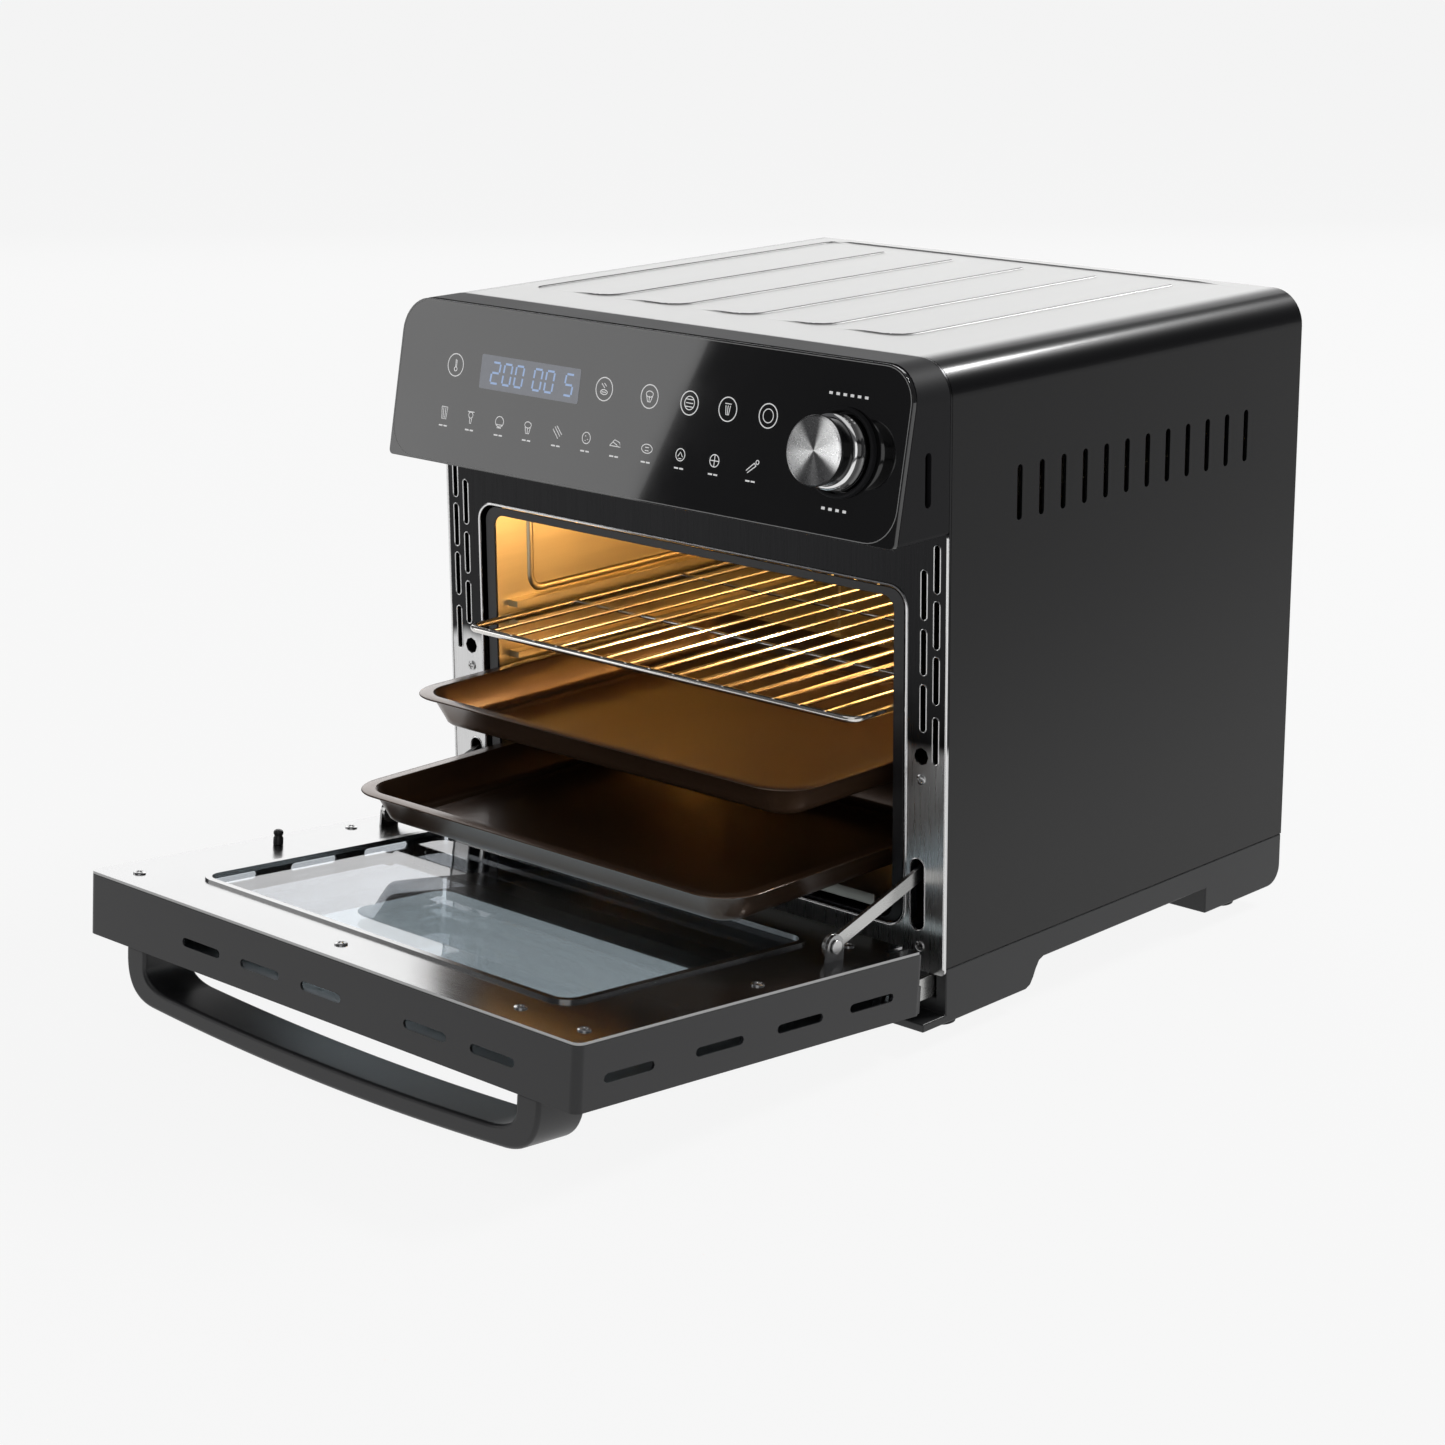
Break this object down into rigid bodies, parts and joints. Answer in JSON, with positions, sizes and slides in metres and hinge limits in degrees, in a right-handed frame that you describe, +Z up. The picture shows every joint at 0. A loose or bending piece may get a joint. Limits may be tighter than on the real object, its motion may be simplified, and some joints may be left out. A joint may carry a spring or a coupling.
{
  "type": "toaster oven",
  "caption": "Countertop toaster oven: black shell with a silver-grey ribbed top, drop-down glass door that draws out a rack and two trays, sloping black control panel with display and one knob.",
  "frame": {"origin": "on the surface the feet stand on, under the middle of the overall outline with the door open", "axes": "+X to the user's right, +Y from the door to the back panel, +Z up"},
  "size_m": [0.4, 0.6328, 0.385],
  "materials": {
    "cover_paint": "satin black sides, silver-grey satin top",
    "black_paint": "fine matte black paint",
    "black_plastic": "fine-grained moulded black",
    "panel_glass": null,
    "gloss_black": "polished black",
    "polished_steel": "bright, softly brushed",
    "brushed_steel": "brushed",
    "zinc_steel": "zinc plated",
    "chrome_wire": "plated wire",
    "bronze_enamel": "dark bronze non-stick coating",
    "dark_enamel": "dark enamel",
    "aluminised_steel": "warm, slightly mottled sheet",
    "clear_glass": "clear toughened glass",
    "bulb_glass": "clear halogen bulb",
    "rubber": "matte black",
    "circuit_board": "green solder mask",
    "display": "grey window with pale blue segments",
    "quartz": "frosted quartz tube"
  },
  "bodies": {
    "oven_body": {"outer_cover": "cover_paint", "rear_panel": "zinc_steel", "rear_vent_hood": "black_plastic", "base_frame": "black_plastic", "front_frame": "polished_steel", "cord_gland": "rubber", "door_switch": "black_plastic", "power_board": "circuit_board", "foot_front_left": "rubber", "foot_front_right": "rubber", "foot_rear_left": "rubber", "foot_rear_right": "rubber", "hinge_bracket_left": "zinc_steel", "hinge_bracket_right": "zinc_steel", "hinge_pin_left": "polished_steel", "hinge_pin_right": "polished_steel", "cavity_flange": "dark_enamel", "cavity_left_wall": "aluminised_steel", "cavity_right_wall": "aluminised_steel", "cavity_back_wall": "aluminised_steel", "cavity_ceiling": "aluminised_steel", "cavity_floor": "dark_enamel", "heater_upper_front": "quartz", "heater_upper_rear": "quartz", "heater_lower_front": "quartz", "heater_lower_rear": "quartz", "fan_grille": "brushed_steel", "fan_motor": "zinc_steel", "lamp_socket": "zinc_steel", "lamp_bulb": "bulb_glass", "lamp_lens": "clear_glass", "temperature_probe": "polished_steel", "control_fascia": "black_plastic", "control_glass": "panel_glass", "display_module": "display", "control_board": "circuit_board", "encoder_body": "zinc_steel", "knob_bezel": "polished_steel"},
    "door": {"door_casing": "black_paint", "door_outer_glass": "clear_glass", "door_inner_glass": "clear_glass", "door_inner_panel": "polished_steel", "door_handle": "black_plastic", "door_peg": "black_plastic", "arm_rivet_left": "polished_steel", "arm_rivet_right": "polished_steel"},
    "left_stay_arm": {"stay_arm_left": "zinc_steel"},
    "right_stay_arm": {"stay_arm_right": "zinc_steel"},
    "rack": {"wire_rack": "chrome_wire"},
    "tray": {"baking_tray": "bronze_enamel"},
    "pan": {"roasting_pan": "bronze_enamel"},
    "crumbs": {"crumb_tray": "brushed_steel"},
    "knob_stem": {"encoder_shaft": "polished_steel"},
    "knob": {"knob_body": "gloss_black", "knob_cap": "brushed_steel"},
    "fan_rotor": {"fan_shaft": "polished_steel", "fan_impeller": "brushed_steel"}
  },
  "joints": [
    {"name": "door_hinge", "type": "hinge", "parent": "oven_body", "child": "door", "pos_m": [0, -0.06261, 0.033], "axis": [1, 0, 0], "range_deg": [-85, 0]},
    {"name": "left_arm_pivot", "type": "hinge", "parent": "door", "child": "left_stay_arm", "pos_m": [-0.18, -0.10326, 0.0732], "axis": [1, 0, 0], "range_deg": [0, 73.5]},
    {"name": "right_arm_pivot", "type": "hinge", "parent": "door", "child": "right_stay_arm", "pos_m": [0.18, -0.10326, 0.0732], "axis": [1, 0, 0], "range_deg": [0, 73.5]},
    {"name": "rack_slide", "type": "slide", "parent": "oven_body", "child": "rack", "axis": [0, -1, 0], "range_m": [-0.0421, 0]},
    {"name": "tray_slide", "type": "slide", "parent": "oven_body", "child": "tray", "axis": [0, -1, 0], "range_m": [-0.0941, 0]},
    {"name": "pan_slide", "type": "slide", "parent": "oven_body", "child": "pan", "axis": [0, -1, 0], "range_m": [-0.1761, 0]},
    {"name": "crumb_tray_slide", "type": "slide", "parent": "oven_body", "child": "crumbs", "axis": [0, -1, 0], "range_m": [0, 0.1]},
    {"name": "knob_push", "type": "slide", "parent": "oven_body", "child": "knob_stem", "axis": [0, 0.9802, -0.1981], "range_m": [0, 0.0015], "stiffness_N_per_m": 600, "springref_m": -0.0015},
    {"name": "knob_turn", "type": "hinge", "parent": "knob_stem", "child": "knob", "pos_m": [0.156, -0.0685, 0.33509], "axis": [0, -0.9802, 0.1981], "continuous": true},
    {"name": "fan_spin", "type": "hinge", "parent": "oven_body", "child": "fan_rotor", "pos_m": [0, 0.11839, 0.28], "axis": [0, 0, 1], "continuous": true}
  ],
  "couplings": [
    {"joint": "left_arm_pivot", "follows": "door_hinge", "ratio": -0.85882},
    {"joint": "right_arm_pivot", "follows": "door_hinge", "ratio": -0.85882},
    {"joint": "rack_slide", "follows": "door_hinge", "m_per_rad": 0.028311},
    {"joint": "tray_slide", "follows": "door_hinge", "m_per_rad": 0.063362},
    {"joint": "pan_slide", "follows": "door_hinge", "m_per_rad": 0.11864}
  ]
}
